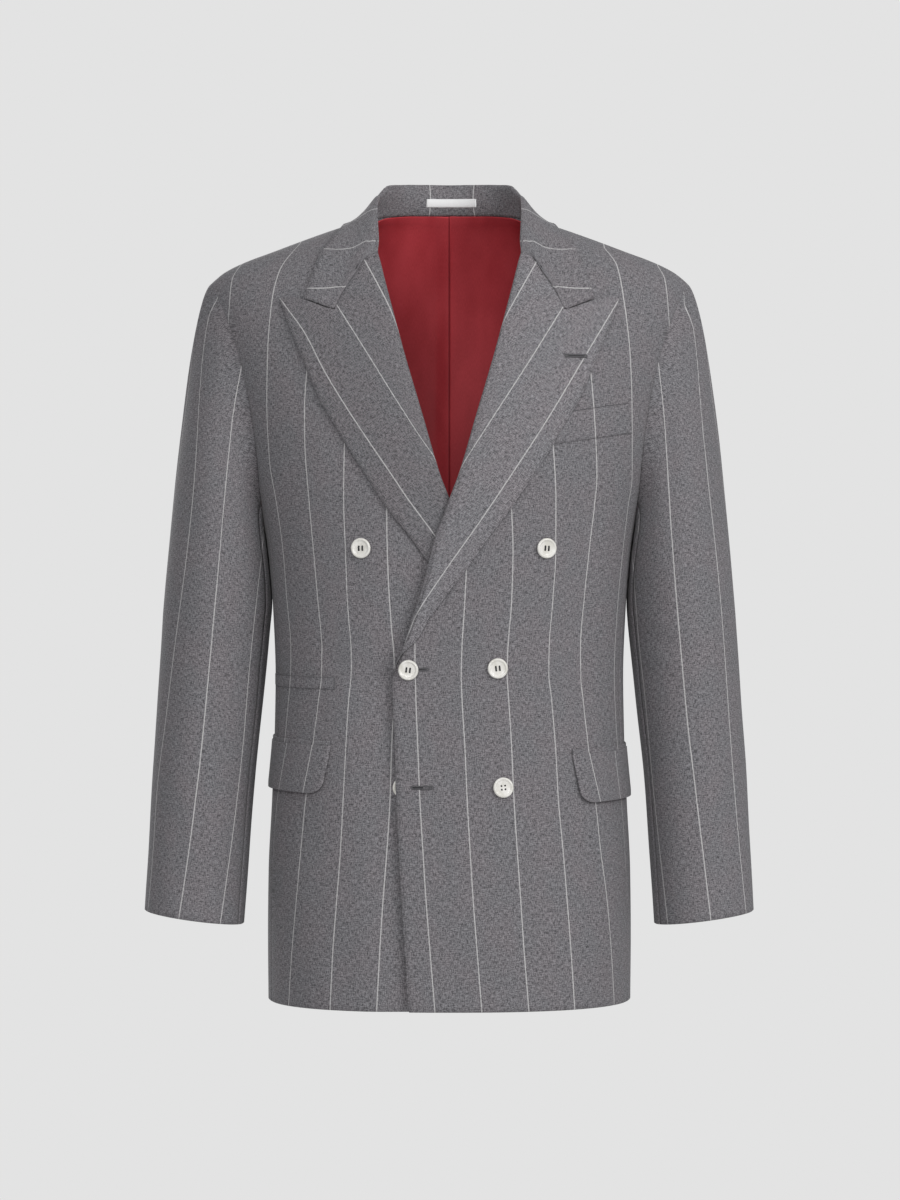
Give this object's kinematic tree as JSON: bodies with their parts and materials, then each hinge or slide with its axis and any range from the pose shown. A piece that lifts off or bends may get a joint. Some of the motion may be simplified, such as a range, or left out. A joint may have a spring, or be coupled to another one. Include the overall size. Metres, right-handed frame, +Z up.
{
  "type": "double-breasted blazer",
  "caption": "Hollow double-breasted blazer with peak lapels, flap pockets, set-in sleeves and a red back lining, filled out as when worn.",
  "frame": {"origin": "middle of the neck opening, at the height where the shoulder seams meet the collar, where the wearer's neck and shoulders or a hanger hold the garment", "axes": "+Z up; the front of the garment faces -Y; +X is the wearer's left"},
  "size_m": [0.5914, 0.277, 0.8011],
  "materials": {
    "wool_cloth": "matte wool with thin pale stripes",
    "red_lining": "satin lining",
    "white_label": "woven, bare",
    "pearl_button": "polished, pearly"
  },
  "bodies": {
    "root": {"front_left": "wool_cloth", "front_right": "wool_cloth", "side_left": "wool_cloth", "side_right": "wool_cloth", "back_left": "wool_cloth", "back_right": "wool_cloth", "sleeve_top_left": "wool_cloth", "sleeve_top_right": "wool_cloth", "sleeve_under_left": "wool_cloth", "sleeve_under_right": "wool_cloth", "lapel_left": "wool_cloth", "lapel_right": "wool_cloth", "collar": "wool_cloth", "flap_left": "wool_cloth", "flap_right": "wool_cloth", "jet_left": "wool_cloth", "jet_right": "wool_cloth", "ticket_welt": "wool_cloth", "breast_welt": "wool_cloth", "back_lining": "red_lining", "label": "white_label", "button_right_top": "pearl_button", "button_left_top": "pearl_button", "button_right_middle": "pearl_button", "button_left_middle": "pearl_button", "button_right_bottom": "pearl_button", "button_left_bottom": "pearl_button"}
  },
  "joints": []
}
